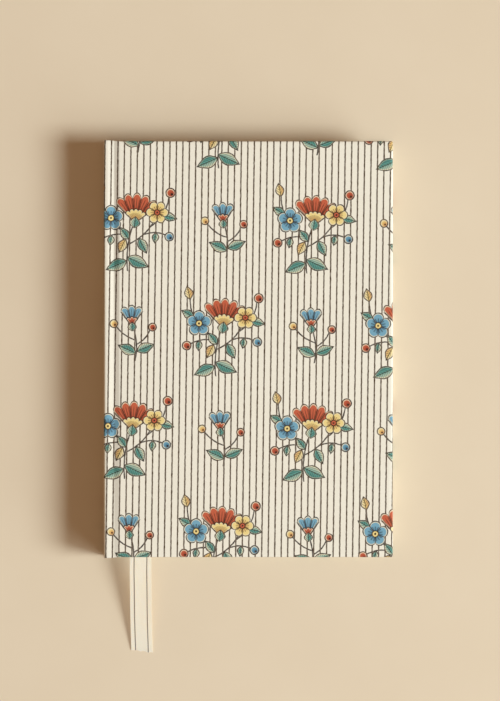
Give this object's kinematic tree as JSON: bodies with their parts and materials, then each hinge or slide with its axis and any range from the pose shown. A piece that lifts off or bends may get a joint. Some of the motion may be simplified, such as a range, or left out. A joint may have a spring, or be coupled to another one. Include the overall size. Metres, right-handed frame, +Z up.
{
  "type": "hardcover notebook",
  "caption": "Case-bound notebook with printed hard covers, flat spine, pressed joint grooves, sewn block of pages and a ribbon marker.",
  "frame": {"origin": "middle of the back cover's outer face, which the notebook rests on", "axes": "+Z up out of the front cover, +Y to the head, +X from the spine to the fore-edge"},
  "size_m": [0.15, 0.2665, 0.0177],
  "materials": {
    "cover_board": "matt grey-brown pulp board",
    "printed_covering": "matt printed paper, cream with dark stripes and sprigs",
    "endpaper": "matt uncoated",
    "page_paper": "matt uncoated",
    "mull_cloth": "open starched gauze",
    "lining_paper": "brown kraft",
    "thread": "waxed linen thread",
    "head_and_tail_band": "striped woven bead",
    "ribbon": "woven twill tape with two thin lines"
  },
  "bodies": {
    "text_block": {"signature_01": "page_paper", "signature_02": "page_paper", "signature_03": "page_paper", "signature_04": "page_paper", "signature_05": "page_paper", "signature_06": "page_paper", "signature_07": "page_paper", "signature_08": "page_paper", "signature_09": "page_paper", "signature_10": "page_paper", "back_flyleaf": "endpaper", "sewing_thread_1": "thread", "sewing_thread_2": "thread", "sewing_thread_3": "thread", "sewing_thread_4": "thread", "spine_mull": "mull_cloth", "spine_lining": "lining_paper", "headband": "head_and_tail_band", "tailband": "head_and_tail_band", "ribbon_marker": "ribbon", "spine_strip": "cover_board", "spine_covering": "printed_covering", "front_joint_covering": "printed_covering", "back_joint_covering": "printed_covering", "front_mull_joint": "mull_cloth", "back_mull_joint": "mull_cloth", "front_endpaper_fold": "endpaper", "back_endpaper_fold": "endpaper"},
    "front_cover": {"front_board": "cover_board", "front_covering": "printed_covering", "front_mull_flap": "mull_cloth", "front_pastedown": "endpaper"},
    "back_cover": {"back_board": "cover_board", "back_covering": "printed_covering", "back_mull_flap": "mull_cloth", "back_pastedown": "endpaper"},
    "front_flyleaf": {"front_flyleaf": "endpaper"},
    "leaf_01": {"leaf_01": "page_paper"},
    "leaf_02": {"leaf_02": "page_paper"},
    "leaf_03": {"leaf_03": "page_paper"},
    "leaf_04": {"leaf_04": "page_paper"},
    "ribbon_tail": {"ribbon_tail": "ribbon"}
  },
  "joints": [
    {"name": "front_cover_open", "type": "hinge", "parent": "text_block", "child": "front_cover", "pos_m": [-0.074, 0, 0.01613], "axis": [0, -1, 0], "range_deg": [0, 179], "deforming": ["front_joint_covering", "front_mull_joint", "front_endpaper_fold"]},
    {"name": "back_cover_open", "type": "hinge", "parent": "text_block", "child": "back_cover", "pos_m": [-0.074, 0, 0.0016], "axis": [0, 1, 0], "range_deg": [0, 179], "deforming": ["back_joint_covering", "back_mull_joint", "back_endpaper_fold"]},
    {"name": "front_flyleaf_turn", "type": "hinge", "parent": "text_block", "child": "front_flyleaf", "pos_m": [-0.0715, 0, 0.01613], "axis": [0, -1, 0], "range_deg": [0, 177.21]},
    {"name": "leaf_01_turn", "type": "hinge", "parent": "text_block", "child": "leaf_01", "pos_m": [-0.0715, 0, 0.01613], "axis": [0, -1, 0], "range_deg": [0, 174.53]},
    {"name": "leaf_02_turn", "type": "hinge", "parent": "text_block", "child": "leaf_02", "pos_m": [-0.0715, 0, 0.01613], "axis": [0, -1, 0], "range_deg": [0, 171.84]},
    {"name": "leaf_03_turn", "type": "hinge", "parent": "text_block", "child": "leaf_03", "pos_m": [-0.0715, 0, 0.01613], "axis": [0, -1, 0], "range_deg": [0, 169.16]},
    {"name": "leaf_04_turn", "type": "hinge", "parent": "text_block", "child": "leaf_04", "pos_m": [-0.0715, 0, 0.01613], "axis": [0, -1, 0], "range_deg": [0, 166.47]},
    {"name": "ribbon_lift", "type": "hinge", "parent": "text_block", "child": "ribbon_tail", "pos_m": [-0.0562, -0.109, 0.00883], "axis": [-1, 0, 0], "range_deg": [0, 90]}
  ],
  "couplings": [
    {"joint": "front_flyleaf_turn", "follows": "front_cover_open", "ratio": 0.99},
    {"joint": "leaf_01_turn", "follows": "front_cover_open", "ratio": 0.975},
    {"joint": "leaf_02_turn", "follows": "front_cover_open", "ratio": 0.96},
    {"joint": "leaf_03_turn", "follows": "front_cover_open", "ratio": 0.945},
    {"joint": "leaf_04_turn", "follows": "front_cover_open", "ratio": 0.93}
  ]
}
